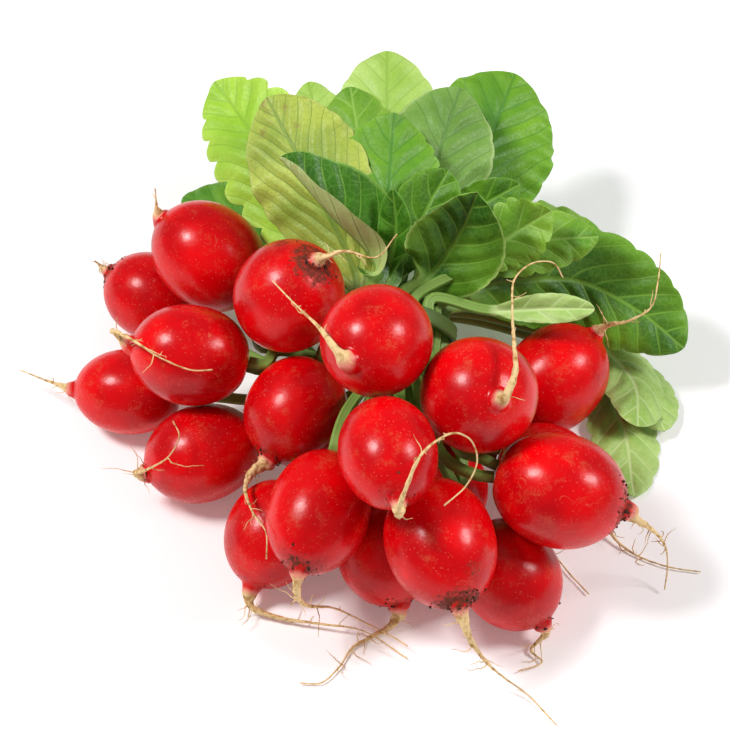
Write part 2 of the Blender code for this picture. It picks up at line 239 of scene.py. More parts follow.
def srgb(code: str) -> tuple[float, ...]:
    """Turn an sRGB hex colour into linear RGBA."""
    channels = np.array([int(code[i:i + 2], 16) for i in (1, 3, 5)]) / 255.0
    linear = np.where(channels <= 0.04045, channels / 12.92, ((channels + 0.055) / 1.055)**2.4)
    return (*linear.tolist(), 1.0)


def per_mm(size: float) -> float:
    """Return the texture scale that makes a pattern's cell this many millimetres."""
    return 1.0 / (size * MM)


def result_of(value: Any) -> Any:
    """Return a node's result, the third output of a colour mix or else the first, or the value itself."""
    if isinstance(value, bpy.types.Node):
        return value.outputs[2 if getattr(value, "data_type", "") == "RGBA" else 0]
    return value


def add_node(tree: bpy.types.NodeTree, kind: str, inputs: dict[Any, Any] | None = None,
             **settings: Any) -> bpy.types.Node:
    """Add a shader node with its settings, its values and its links.

    Args:
        tree: The node tree.
        kind: The node's type, without its prefix.
        inputs: For each input socket, a value, or the node or output socket to link to it.
        settings: The node's own settings.

    Returns:
        The node.
    """
    node = tree.nodes.new(f"ShaderNode{kind}")
    for key, value in settings.items():
        setattr(node, key, value)
    for key, value in (inputs or {}).items():
        value = result_of(value)
        if isinstance(value, bpy.types.NodeSocket):
            tree.links.new(value, node.inputs[key])
        else:
            node.inputs[key].default_value = value
    return node


def bare_material(name: str) -> tuple[bpy.types.Material, partial, bpy.types.Node]:
    """Return a new material, what adds a node to it, and its Principled shader."""
    result = bpy.data.materials.new(name)
    result.use_nodes = True
    tree = result.node_tree
    return result, partial(add_node, tree), tree.nodes["Principled BSDF"]


def dress(shader: bpy.types.Node, **links: bpy.types.Node) -> None:
    """Link nodes to the shader's inputs, named with _ for a space."""
    for key, node in links.items():
        shader.id_data.links.new(result_of(node), shader.inputs[key.replace("_", " ")])


@dataclass(frozen=True)
class RadishSkin:
    """Living radish skin: thin, tight and waxy over the bulb, corky and dry down the root.

    It gives the eye a deep red with soft wide highlights, fine pale pores, hair-thin scars, a
    film of dry dust, and soil held where the root leaves the bulb.
    """

    red: str = "#E2020A"
    deep: str = "#BC000A"
    pore: str = "#F0705A"
    scar: str = "#D98A5C"
    dust: str = "#CC5A3C"
    neck: str = "#E58A78"
    root: str = "#E6C690"
    root_shade: str = "#B08448"
    soil: str = "#4A2C18"
    blotch_mm: float = 15.0
    pore_mm: float = 1.15
    scar_mm: float = 11.0
    dust_mm: float = 7.0
    soil_mm: float = 1.4

    def make(self) -> bpy.types.Material:
        """Return the material, which reads growth: how far along, how much root, how much soil."""
        result, add, shader = bare_material("waxy_radish_skin")
        place = add("TexCoord").outputs["Object"]
        growth = add("SeparateXYZ", {0: add("Attribute", attribute_name="growth").outputs["Vector"]})
        blotch = add("TexNoise", {"Vector": place, "Scale": per_mm(self.blotch_mm), "Detail": 3.0})
        spread = add("MapRange", {0: blotch, 1: 0.35, 2: 0.62})
        skin = add("Mix", {0: spread, 6: srgb(self.deep), 7: srgb(self.red)}, data_type="RGBA")
        # Pores: small round dots in about half of the cells.
        cells = add("TexVoronoi", {"Vector": place, "Scale": per_mm(self.pore_mm)})
        dot = add("MapRange", {0: cells.outputs["Distance"], 1: 0.09, 2: 0.20, 3: 0.58, 4: 0.0})
        pick = add("Math", {0: cells.outputs["Color"], 1: 0.42}, operation="GREATER_THAN")
        pores = add("Math", {0: dot, 1: pick}, operation="MULTIPLY")
        # Scars: the thin line where a wide noise crosses its middle, broken up by a second one.
        wander = add("TexNoise", {"Vector": place, "Scale": per_mm(self.scar_mm), "Detail": 1.0})
        off = add("Math", {0: wander, 1: 0.5}, operation="SUBTRACT")
        size = add("Math", {0: off}, operation="ABSOLUTE")
        line = add("MapRange", {0: size, 1: 0.0, 2: 0.004, 3: 0.4, 4: 0.0})
        breaks = add("TexNoise", {"Vector": place, "Scale": per_mm(5.0), "Detail": 2.0})
        keep = add("MapRange", {0: breaks, 1: 0.60, 2: 0.66})
        scars = add("Math", {0: line, 1: keep}, operation="MULTIPLY")
        # Dust: a faint dry film in patches, with a fine grain.
        film = add("TexNoise", {"Vector": place, "Scale": per_mm(self.dust_mm), "Detail": 10.0,
                                "Roughness": 0.88})
        dusty = add("MapRange", {0: film, 1: 0.53, 2: 0.66, 3: 0.0, 4: 0.6})
        # Neck and root: pink where the skin thins out, then cream cork with darker scales.
        fray = add("Math", {0: breaks, 1: 0.5, 2: growth.outputs[1]}, operation="MULTIPLY_ADD")
        pink = add("MapRange", {0: fray, 1: 0.36, 2: 0.62})
        cork = add("MapRange", {0: fray, 1: 0.62, 2: 0.98})
        scales = add("TexNoise", {"Vector": place, "Scale": per_mm(1.8), "Detail": 4.0})
        flecks = add("MapRange", {0: scales, 1: 0.48, 2: 0.66})
        bark = add("Mix", {0: flecks, 6: srgb(self.root), 7: srgb(self.root_shade)}, data_type="RGBA")
        # Soil: grains that stand where the soil value and the noise together are high.
        grains = add("TexNoise", {"Vector": place, "Scale": per_mm(self.soil_mm), "Detail": 5.0,
                                  "Roughness": 0.7})
        heap = add("Math", {0: growth.outputs[2], 1: 0.62, 2: grains}, operation="MULTIPLY_ADD")
        soiled = add("MapRange", {0: heap, 1: 0.92, 2: 1.10, 3: 0.0, 4: 0.85})
        # Layers over the red, from the lowest up.
        for cover, colour in ((pores, srgb(self.pore)), (scars, srgb(self.scar)), (dusty, srgb(self.dust)),
                              (pink, srgb(self.neck)), (cork, bark), (soiled, srgb(self.soil))):
            skin = add("Mix", {0: cover, 6: skin, 7: colour}, data_type="RGBA")
        # Gloss: waxy on clean skin, dull on dust, root and soil.
        dull = add("Math", {0: growth.outputs[1], 1: soiled}, operation="MAXIMUM")
        wax = add("MapRange", {0: film, 1: 0.3, 2: 0.75, 3: 0.17, 4: 0.35})
        gloss = add("Mix", {0: dull, 2: wax, 3: 0.85})
        dents = add("TexNoise", {"Vector": place, "Scale": per_mm(3.2), "Detail": 6.0, "Roughness": 0.55})
        relief = add("Math", {0: heap, 1: 0.4, 2: dents}, operation="MULTIPLY_ADD")
        bump = add("Bump", {"Height": relief, "Distance": 0.3 * MM, "Strength": 0.28})
        dress(shader, Base_Color=skin, Roughness=gloss, Normal=bump)
        shader.inputs["IOR"].default_value = 1.34
        return result


@dataclass(frozen=True)
class LeafBlade:
    """A fresh radish leaf: a soft blade that is paler below, with a juicy pale stalk darkened by painted
    shade.

    It gives the eye two greens in broad patches, a pale midrib, side veins that bend towards the
    tip, a fine net between them, and a soft sheen.
    """

    name: str
    dark: str
    light: str
    vein: str
    under: str
    margin: str
    vein_show: float = 0.6
    margin_show: float = 0.25
    blemish: float = 0.0
    roughness: float = 0.46
    # Stalk green: partly its own pale green, partly painted shade that darkens it for the shade between the
    # radishes.
    stalk: str = "#7C9E48"
    patch_mm: float = 16.0
    net_mm: float = 2.4
    brown: str = "#8A7A3A"

    def make(self) -> bpy.types.Material:
        """Return the material, which reads the leaf's veins and blade values."""
        result, add, shader = bare_material(f"{self.name}_leaf_blade")
        place = add("TexCoord").outputs["Object"]
        veins = add("Attribute", attribute_name="veins").outputs["Vector"]
        count, across, _ = add("SeparateXYZ", {0: veins}).outputs
        blade = add("Attribute", attribute_name="blade").outputs["Vector"]
        edge, station, under = add("SeparateXYZ", {0: blade}).outputs
        # Two greens in broad patches, lighter towards the margin.
        patch = add("TexNoise", {"Vector": place, "Scale": per_mm(self.patch_mm), "Detail": 5.0})
        rim = add("Math", {0: edge, 1: edge}, operation="MULTIPLY")
        lean = add("Math", {0: rim, 1: 0.22, 2: patch}, operation="MULTIPLY_ADD")
        spread = add("MapRange", {0: lean, 1: 0.38, 2: 0.78})
        green = add("Mix", {0: spread, 6: srgb(self.dark), 7: srgb(self.light)}, data_type="RGBA")
        # Net: the edges of small cells. Side veins: whole numbers of the count. Midrib: the middle.
        net = add("TexVoronoi", {"Vector": place, "Scale": per_mm(self.net_mm)}, feature="DISTANCE_TO_EDGE")
        fine = add("MapRange", {0: net.outputs["Distance"], 1: 0.02, 2: 0.11, 3: 0.30, 4: 0.0})
        near = add("Math", {0: count, 1: 0.5}, operation="PINGPONG")
        taper = add("MapRange", {0: rim, 1: 0.0, 2: 1.0, 3: 0.085, 4: 0.025})
        ratio = add("Math", {0: near, 1: taper}, operation="DIVIDE")
        side = add("MapRange", {0: ratio, 1: 0.35, 2: 1.0, 3: 0.9, 4: 0.0})
        middle = add("Math", {0: across}, operation="ABSOLUTE")
        waist = add("MapRange", {0: station, 1: 0.0, 2: 1.0, 3: 1.5, 4: 0.4})
        share = add("Math", {0: middle, 1: waist}, operation="DIVIDE")
        rib = add("MapRange", {0: share, 1: 0.5, 2: 1.1, 3: 1.0, 4: 0.0})
        lines = add("Math", {0: side, 1: rib}, operation="MAXIMUM")
        strong = add("Math", {0: lines, 1: fine}, operation="MAXIMUM")
        show = add("Math", {0: strong, 1: self.vein_show}, operation="MULTIPLY")
        # A paler margin, and brown blemishes towards the tip of an older leaf.
        size = add("Math", {0: edge}, operation="ABSOLUTE")
        line = add("MapRange", {0: size, 1: 0.92, 2: 0.99, 3: 0.0, 4: self.margin_show})
        spots = add("TexNoise", {"Vector": place, "Scale": per_mm(5.0), "Detail": 4.0})
        age = add("Math", {0: station, 1: 0.2, 2: spots}, operation="MULTIPLY_ADD")
        spoilt = add("MapRange", {0: age, 1: 0.76, 2: 0.86, 3: 0.0, 4: self.blemish})
        top = green
        for cover, over in ((show, self.vein), (line, self.margin), (spoilt, self.brown)):
            top = add("Mix", {0: cover, 6: top, 7: srgb(over)}, data_type="RGBA")
        # Underside: the veins take the stalk green, with its painted shade.
        below = add("Mix", {0: lines, 6: srgb(self.under), 7: srgb(self.stalk)}, data_type="RGBA")
        both = add("Mix", {0: under, 6: top, 7: below}, data_type="RGBA")
        # Stalk: a juicy pale green, darkened by painted shade, until the blade opens.
        opening = add("MapRange", {0: station, 1: 0.0, 2: 0.10, 3: 1.0, 4: 0.0})
        colour = add("Mix", {0: opening, 6: both, 7: srgb(self.stalk)}, data_type="RGBA")
        skin = add("TexNoise", {"Vector": place, "Scale": per_mm(0.9), "Detail": 3.0})
        sheen = add("MapRange", {0: skin, 1: 0.3, 2: 0.7, 3: self.roughness - 0.06, 4: self.roughness + 0.12})
        sunk = add("Math", {0: strong, 1: -0.8, 2: skin}, operation="MULTIPLY_ADD")
        bump = add("Bump", {"Height": sunk, "Distance": 0.3 * MM, "Strength": 0.45})
        dress(shader, Base_Color=colour, Roughness=sheen, Normal=bump)
        shader.inputs["IOR"].default_value = 1.42
        return result


@dataclass(frozen=True)
class GreenRubber:
    """Dyed rubber band, cut from a moulded tube: leaf green, matt and faintly powdery."""

    colour: str = "#56702E"
    shade: str = "#3F5622"
    powder_mm: float = 2.0

    def make(self) -> bpy.types.Material:
        """Return the material."""
        result, add, shader = bare_material("green_rubber")
        place = add("TexCoord").outputs["Object"]
        powder = add("TexNoise", {"Vector": place, "Scale": per_mm(self.powder_mm), "Detail": 6.0})
        green = add("Mix", {0: powder, 6: srgb(self.shade), 7: srgb(self.colour)}, data_type="RGBA")
        matt = add("MapRange", {0: powder, 3: 0.45, 4: 0.75})
        bump = add("Bump", {"Height": powder, "Distance": 0.1 * MM, "Strength": 0.4})
        dress(shader, Base_Color=green, Roughness=matt, Normal=bump)
        shader.inputs["IOR"].default_value = 1.52
        return result


@dataclass(frozen=True)
class GardenSoil:
    """Dried garden soil in crumbs: nearly black, rough, with paler grains of sand."""

    colour: str = "#2A190D"
    sand: str = "#7A5634"
    grain_mm: float = 0.5

    def make(self) -> bpy.types.Material:
        """Return the material."""
        result, add, shader = bare_material("dry_garden_soil")
        place = add("TexCoord").outputs["Object"]
        grain = add("TexNoise", {"Vector": place, "Scale": per_mm(self.grain_mm), "Detail": 3.0})
        sandy = add("MapRange", {0: grain, 1: 0.5, 2: 0.75})
        earth = add("Mix", {0: sandy, 6: srgb(self.colour), 7: srgb(self.sand)}, data_type="RGBA")
        bump = add("Bump", {"Height": grain, "Distance": 0.2 * MM, "Strength": 0.8})
        dress(shader, Base_Color=earth, Normal=bump)
        shader.inputs["Roughness"].default_value = 0.95
        return result


class LeafTone(Enum):
    """The ages and greens of the leaves in the bunch."""

    INNER = LeafBlade("inner_dark", "#265610", "#47801C", "#8FBF4A", "#B8D484", "#9CC860",
                      vein_show=0.45, margin_show=0.5, roughness=0.36)
    CUPPED = LeafBlade("cupped_dark", "#2C5E0E", "#6FA428", "#8CBC44", "#8DB84A", "#B4D878",
                       vein_show=0.4, margin_show=0.8)
    DEEP = LeafBlade("deep_green", "#33620F", "#5E901C", "#86B63E", "#94BC58", "#8CBE48", vein_show=0.45)
    BRIGHT = LeafBlade("bright_green", "#4F881E", "#78AA2C", "#3A7A1C", "#9CC266", "#8FC456", vein_show=0.55)
    MIDDLE = LeafBlade("middle_green", "#578C1F", "#82AE34", "#A8CC66", "#9CC266", "#A0CC5C", vein_show=0.4)
    GREYISH = LeafBlade("greyish_green", "#668F3A", "#86AE52", "#4E7A2A", "#A6C078", "#B6CC84",
                        margin_show=0.7)
    OLIVE = LeafBlade("old_olive", "#8DA338", "#B4C254", "#66862A", "#B4C67A", "#C6D080",
                      vein_show=0.75, blemish=0.6)
    LIME = LeafBlade("young_lime", "#8FBE30", "#B0D648", "#7AA82A", "#B8D880", "#C6E27A", vein_show=0.5)
    SOFT = LeafBlade("soft_lime", "#98BE4C", "#B8D476", "#82A83C", "#BCD88A", "#C8E088", vein_show=0.5)
    PALE = LeafBlade("pale_outer", "#8CB050", "#AECB78", "#D2E2A6", "#B6CE8E", "#C4DA94", vein_show=0.5)


@dataclass
class Radish:
    """A bulb that runs into its root, with the fine side roots that grow on it."""

    name: str
    middle: tuple[float, float, float]
    direction: tuple[float, float, float]
    girth: float
    length: float
    root: tuple[tuple[float, float, float], ...]
    root_radius: float = 1.4
    hairs: int = 10
    hair_length: float = 9.0
    dirt: float = 0.4
    crumbs: int = 8
    sides: int = 56
    bulb_rings: int = 72
    root_rings: int = 90
    bulb_power: float = 2.1
    thread_radius: float = 0.21
    neck_flare: float = 2.0
    crown_dip: float = 1.4
    dip_reach: float = 4.0
    hair_radius: float = 0.20
    hair_tip_radius: float = 0.06

    def __post_init__(self) -> None:
        """Work out the seed, the axis, the crown and the path down the middle."""
        self.seed = int(self.name[-2:])
        self.axis = unit(self.direction)
        self.crown = np.array(self.middle) - self.axis * self.length / 2
        base = self.crown + self.axis * self.length * 1.02
        self.curve = smooth_route([self.crown, self.crown + self.axis * self.length * 0.5,
                                   self.crown + self.axis * self.length * 0.9, base, *self.root])
        self.run = float(run_of(self.curve)[-1])

    def radius(self, distance: np.ndarray) -> np.ndarray:
        """Return the radius at distances from the crown.

        The bulb is half the girth times sqrt(1 - |2s - 1|^2.1) for the fraction s of its length.
        The root is a taper from its own radius to a thread, with a flare at the neck. The two are
        joined as the cube root of the sum of their cubes.
        """
        s = distance / self.length
        bulb = self.girth / 2 * np.sqrt(np.maximum(0.0, 1 - np.abs(2 * s - 1)**self.bulb_power))
        left = np.clip((self.run - distance) / (self.run - self.length), 0.0, 1.0)
        root = self.thread_radius + (self.root_radius - self.thread_radius) * left**3.2
        root = root + self.neck_flare * np.exp(-((distance - self.length + 1.2) / 3.8)**2)
        root = root * ease(s, 0.5, 0.95)
        return np.cbrt(bulb**3 + root**3)

    def rings_at(self, distance: np.ndarray) -> tuple[np.ndarray, np.ndarray, np.ndarray]:
        """Return the path's points at the distances, and the two directions across it."""
        places = along(self.curve, distance)
        directions = unit(np.gradient(places, axis=0))
        bent = ease(distance / self.length, 0.97, 1.12)[:, None]
        directions = unit(self.axis * (1 - bent) + directions * bent)
        sides = carried(directions, unit(np.cross(self.axis, (0.0, 0.1, 1.0))))
        return places, sides, np.cross(directions, sides)

    def surface(self) -> Shell:
        """Return the bulb and root as one swept surface.

        Formula: a point is the path's point, plus the radius times a circle in the plane across
        it. A seeded ripple changes the radius by about 1.2% on the bulb and 18% on the root, and
        the crown sinks by 1.4 mm at the axis, fading out over about 4 mm.
        """
        first = (1 - np.cos(np.linspace(0.03, math.pi, self.bulb_rings) * 0.94)) / 2
        bulb = first / first[-1] * self.length * 0.99
        rest = self.length * 0.99 + (self.run - self.length * 0.99) * (
            np.arange(1, self.root_rings + 1) / self.root_rings)**1.15
        distance = np.concatenate([bulb, rest])
        places, sides, ups = self.rings_at(distance)
        radius = self.radius(distance)
        turns = np.arange(self.sides) * (2 * math.pi / self.sides)
        d, turn = np.meshgrid(distance, turns, indexing="ij")
        lobes = ripple(self.seed, d / self.length * 1.2, np.cos(turn), np.sin(turn))
        in_root = ease(d / self.length, 0.97, 1.08)
        knots = ripple(self.seed + 50, d / 1.6, np.cos(turn), np.sin(turn))
        reach = radius[:, None] * (1 + 0.012 * lobes * (1 - in_root) + 0.18 * knots * in_root)
        rings = (places[:, None] + reach[..., None] * (
            np.cos(turn)[..., None] * sides[:, None] + np.sin(turn)[..., None] * ups[:, None]))
        dip = self.crown_dip * np.exp(-(reach / self.dip_reach)**2) * (d < self.length / 2)
        rings = rings + dip[..., None] * self.axis
        patch = np.exp(-((d / self.length - 0.86) / 0.10)**2 - ((turn - 4.3) / 0.5)**2)
        around = np.exp(-((d / self.length - 1.0) / 0.085)**2)
        soil = self.dirt * np.maximum(around, 0.8 * patch * (self.dirt > 0.6))
        growth = np.stack([d / self.length, ease(d / self.length, 1.0, 1.14), soil], axis=-1)
        return Shell.from_rings(rings, {"growth": growth})

    def side_roots(self) -> Shell:
        """Return the fine side roots as thin tapering tubes.

        Formula: each starts on the root and takes even steps, whose direction drifts by a seeded
        random walk. Its rings have five points, and its radius falls from 0.2 to 0.06 mm.
        """
        draw = np.random.default_rng(self.seed + 900)
        steps, points = 18, 5
        at = self.length + (self.run - self.length) * draw.uniform(0.03, 0.75, self.hairs)**1.3
        order = np.argsort(at)
        places, sides, ups = self.rings_at(np.concatenate([[0.0], at[order]]))
        turn = draw.uniform(0, 2 * math.pi, (self.hairs, 1))
        out = np.cos(turn) * sides[1:] + np.sin(turn) * ups[1:]
        ahead = np.cross(sides[1:], ups[1:])
        drift = np.cumsum(draw.normal(0, 0.28, (self.hairs, steps, 3)), axis=1)
        heading = unit(out[:, None] * 0.8 + ahead[:, None] * 0.5 + drift)
        reach = self.hair_length * draw.uniform(0.35, 1.15, (self.hairs, 1, 1)) / steps
        path = places[1:, None] + np.cumsum(heading * reach, axis=1) - heading[:, :1] * reach
        path = np.clip(path, HAIR_ROOM_LOW, HAIR_ROOM_HIGH)
        across = unit(np.cross(heading, unit(draw.normal(0, 1, (self.hairs, 1, 3)))))
        upward = np.cross(heading, across)
        around = np.arange(points) * (2 * math.pi / points)
        radius = np.linspace(self.hair_radius, self.hair_tip_radius, steps)[None, :, None, None]
        rings = path[:, :, None] + radius * (np.cos(around)[:, None] * across[:, :, None]
                                             + np.sin(around)[:, None] * upward[:, :, None])
        growth = np.broadcast_to(np.array([1.4, 1.0, 0.15]), rings.shape).copy()
        return Shell.from_rings(rings, {"growth": growth})

    def soil_spots(self, draw: np.random.Generator) -> np.ndarray:
        """Return places on the skin, close round the neck, for this radish's crumbs of soil."""
        at = np.sort(self.length * (1.0 + 0.035 * draw.normal(0, 1, self.crumbs + 1)))
        places, sides, ups = self.rings_at(at)
        turn = draw.uniform(0, 2 * math.pi, (self.crumbs + 1, 1))
        reach = self.radius(at)[:, None] + 0.15
        return (places + reach * (np.cos(turn) * sides + np.sin(turn) * ups))[:self.crumbs]

    def build(self, finish: bpy.types.Material) -> bpy.types.Object:
        """Put the radish in place of its CAD node."""
        piece = self.surface().joined(self.side_roots()).put(f"{self.name}_with_root", finish)
        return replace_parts(piece, self.name)


@dataclass
class Leaf:
    """A stalk that opens into a blade, as one closed shell."""

    name: str
    radish: Radish
    slot: tuple[int, int]
    twin_slot: tuple[int, int] | None
    vias: tuple[tuple[float, float, float], ...]
    start: tuple[float, float, float]
    middle: tuple[float, float, float]
    tip: tuple[float, float, float]
    half_width: float
    faces: tuple[float, float, float]
    fold: float
    tone: LeafTone = LeafTone.MIDDLE
    tooth_depth: float = 0.035
    teeth: float = 9.0
    wave: float = 1.0
    stalk_rings: int = 44
    blade_rings: int = 118
    half_sides: int = 52
    thickness: float = 0.5
    early: float = 7.0
    widest: float = 1.35
    fullness: float = 0.55
    twin_spread: float = 2.3
    vein_gap: float = 8.5
    vein_slope: float = 1.0
    into_crown: float = 2.2

    def route(self) -> list[Any]:
        """Return the leaf's route points, from inside its crown to its tip."""
        crown = self.radish.crown - self.radish.axis * 1.5
        offset = np.zeros(3)
        if self.twin_slot:
            apart = slot_place(*self.slot) - slot_place(*self.twin_slot)
            apart = apart - self.radish.axis * (apart @ self.radish.axis)
            offset = unit(apart) * self.twin_spread
        axis, place = tie_frame()[0], slot_place(*self.slot)
        return [crown + offset, crown + offset * 1.2 - self.radish.axis * 3, *self.vias,
                place - axis * SLOT_RUN, place, place + axis * SLOT_RUN,
                self.start, self.middle, self.tip]

    def outline(self, station: np.ndarray, side: np.ndarray) -> np.ndarray:
        """Return the half width of the blade on each side.

        Formula: the half width times sin(pi t^widest)^fullness for the fraction t of the blade's
        length, less a notch between each two rounded teeth, which differ on the two sides.
        """
        t = np.clip(station, 0.0, 1.0)
        seed = int(self.name[-2:])
        shape = np.maximum(np.sin(math.pi * t**self.widest), 0.0)**self.fullness
        beat = self.teeth * (t + 0.025 * ripple(seed, t * 3, side)) + 0.37 * side + seed * 0.7
        notch = (1 - np.abs(np.sin(math.pi * beat)))**1.6
        return self.half_width * shape * (1 - self.tooth_depth * 1.8 * notch * ease(t, 0.12, 0.35))

    def build(self, finish: bpy.types.Material) -> bpy.types.Object:
        """Put the leaf in place of its CAD node.

        Formula: rings are carried along the route. A ring is a circle in the stalk, with a groove
        above and fine ridges. In the blade it is two sheets up to half a millimetre apart. They
        rise with the fold as the 1.4th power of the way out from the middle, with a ripple that
        grows towards the margin and puckers between the side veins. The midrib is a groove above
        and a round rib below.
        """
        seed = int(self.name[-2:])
        curve = smooth_route(self.route())
        leaves_tie = distance_to(curve, slot_place(*self.slot) + tie_frame()[0] * SLOT_RUN)
        opens = max(leaves_tie, distance_to(curve, self.start) - self.early)
        run = float(run_of(curve)[-1])
        length = run - opens
        reached = 1 - (1 - np.arange(1, self.blade_rings + 1) / (self.blade_rings + 0.25))**1.2
        distance = np.concatenate([np.linspace(0.0, opens, self.stalk_rings, endpoint=False),
                                   opens + reached * length])
        places = along(curve, distance)
        directions = unit(np.gradient(places, axis=0))
        places[0] = places[0] - directions[0] * self.into_crown
        sides = np.zeros_like(places)
        sides[self.stalk_rings:] = unit(np.cross(directions[self.stalk_rings:], self.faces))
        back = carried(directions[:self.stalk_rings][::-1], sides[self.stalk_rings])
        sides[:self.stalk_rings] = back[::-1]
        ups = np.cross(sides, directions)

        half = self.half_sides
        over = np.concatenate([[-1.0, -0.994], np.linspace(-0.98, 0.98, half - 3), [0.994, 1.0]])
        p = np.concatenate([over, over[::-1][1:-1]])
        face = np.concatenate([np.ones(half + 1), -np.ones(half - 1)])
        station = (distance - opens)[:, None] / length
        p, face, t = np.broadcast_arrays(p[None], face[None], station)
        opened = ease(t, 0.0, 0.12)
        side = np.where(p < 0, -1.0, 1.0)
        spread = np.maximum(STALK_RADIUS * (1 - ease(t, 0.05, 0.5)), self.outline(t, side))
        out = (1 - opened) * np.sin(p * math.pi / 2) + opened * (0.65 * p + 0.35 * p**3)
        bend = math.radians(self.fold) * ease(t, 0.0, 0.28)
        x = out * spread
        y = t * length
        veins = ((y - self.vein_slope * np.abs(x) - 0.014 * x * x + 1.1 * ripple(seed + 7, y / 16, x / 9))
                 / self.vein_gap + 0.25 * side)
        body = np.clip(np.abs(x) / 3.0, 0, 1) * (1 - np.abs(out)**4) * opened
        pucker = 0.75 * np.sin(math.pi * veins)**2 * body
        swell = 0.9 * self.wave * ripple(seed + 21, y / 17, x / 15) * opened
        margin = (1.5 * self.wave * np.abs(out)**3 * ripple(seed + 33, y / 6.5, side * 1.7)
                  * opened * ease(1 - t, 0.0, 0.15))
        lift = np.abs(out)**1.4 * spread * np.sin(bend) + pucker + swell + margin
        rib = (STALK_RADIUS - 0.3) * (1 - 0.75 * np.clip(t, 0, 1))
        sheet = self.thickness / 2 * (1 - 0.7 * np.abs(out)**6) * (1 - np.abs(p)**24)
        above = sheet - 0.30 * np.exp(-(x / 0.8)**2) * (1 - 0.6 * np.clip(t, 0, 1))
        below = sheet + rib * np.exp(-(x / (0.85 * rib))**2)
        open_section = np.where(face > 0, above, -below)
        groove = 0.45 * np.exp(-(x / 0.75)**2) * (face > 0)
        ridges = 0.06 * np.cos(p * 14)
        round_section = face * (STALK_RADIUS + ridges) * np.cos(p * math.pi / 2) - groove
        rise = opened * (lift + open_section) + (1 - opened) * round_section
        rings = (places[:, None] + (x * np.cos(bend))[..., None] * sides[:, None]
                 + rise[..., None] * ups[:, None])
        rings[..., 2] = np.maximum(rings[..., 2], 0.05)
        shell = Shell.from_rings(rings, {
            "veins": np.stack([veins, x, y], axis=-1),
            "blade": np.stack([out, t, (face < 0).astype(float)], axis=-1)})
        piece = shell.put(f"{self.name}_with_stalk", finish)
        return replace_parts(piece, self.name)


@dataclass
class Band:
    """A flat rubber band wound three times round the stalks."""

    inner: float = 17.55
    wall: float = 1.4
    width: float = 5.0
    turns: int = 3
    sides: int = 144
    profile: int = 48

    def build(self, finish: bpy.types.Material) -> bpy.types.Object:
        """Put the band in place of its CAD node.

        Formula: a closed profile, flat inside and with one low hump for each turn outside, is
        carried round a circle that is pulled in by 4% between the six corners of the stalks.
        """
        axis, side, up = tie_frame()
        around = np.arange(self.sides + 1) * (2 * math.pi / self.sides)
        w = np.linspace(0, 2 * math.pi, self.profile, endpoint=False)
        along_axis = self.width / 2 * np.sign(np.cos(w)) * np.abs(np.cos(w))**0.5
        humps = 0.75 + 0.25 * np.abs(np.cos(math.pi * self.turns * along_axis / self.width))
        out = np.where(np.sin(w) > 0, humps * np.abs(np.sin(w))**0.35, 0.0) * self.wall
        turn, z = np.meshgrid(around, along_axis, indexing="ij")
        radius = self.inner * (1 - 0.02 * (1 - np.cos(6 * turn))) + out[None]
        points = (np.array(TIE_CENTRE) + z[..., None] * axis + radius[..., None] * (
            np.cos(turn)[..., None] * side + np.sin(turn)[..., None] * up))
        count = self.sides * self.profile
        ids = np.arange(count).reshape(self.sides, self.profile)
        after, below = np.roll(ids, -1, axis=1), np.roll(ids, -1, axis=0)
        quads = np.stack([ids, after, np.roll(below, -1, axis=1), below], axis=-1).reshape(-1, 4)
        shell = Shell(points[:-1].reshape(-1, 3), quads.tolist(), {})
        piece = shell.put("rubber_band", finish)
        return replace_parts(piece, "band")


@dataclass
class SoilCrumbs:
    """Crumbs of dry soil held round the necks of the radishes."""

    radishes: list[Radish]
    seed: int = 77
    sides: int = 7
    rows: int = 5
    smallest: float = 0.13
    size_span: float = 0.42

    def build(self, finish: bpy.types.Material) -> bpy.types.Object:
        """Put all crumbs in as one piece.

        Formula: each crumb is a ball of five rings, 0.13 to 0.55 mm in radius and mostly small,
        which is then squeezed and dented at random.
        """
        draw = np.random.default_rng(self.seed)
        spots = np.vstack([radish.soil_spots(draw) for radish in self.radishes if radish.crumbs])
        count = len(spots)
        tilt = np.linspace(math.pi - 0.3, 0.3, self.rows)[:, None]
        turn = np.arange(self.sides)[None] * (2 * math.pi / self.sides)
        ball = np.stack(np.broadcast_arrays(np.sin(tilt) * np.cos(turn), np.sin(tilt) * np.sin(turn),
                                            np.cos(tilt)), axis=-1)
        size = self.smallest + self.size_span * draw.uniform(0, 1, (count, 1, 1, 1))**3
        squeeze = draw.uniform(0.6, 1.3, (count, 1, 1, 3))
        dents = draw.uniform(0.72, 1.2, (count, self.rows, self.sides, 1))
        rings = spots[:, None, None] + ball * size * squeeze * dents
        rings[..., 2] = np.maximum(rings[..., 2], 0.05)
        return Shell.from_rings(rings, {}).put("soil_crumbs", finish)


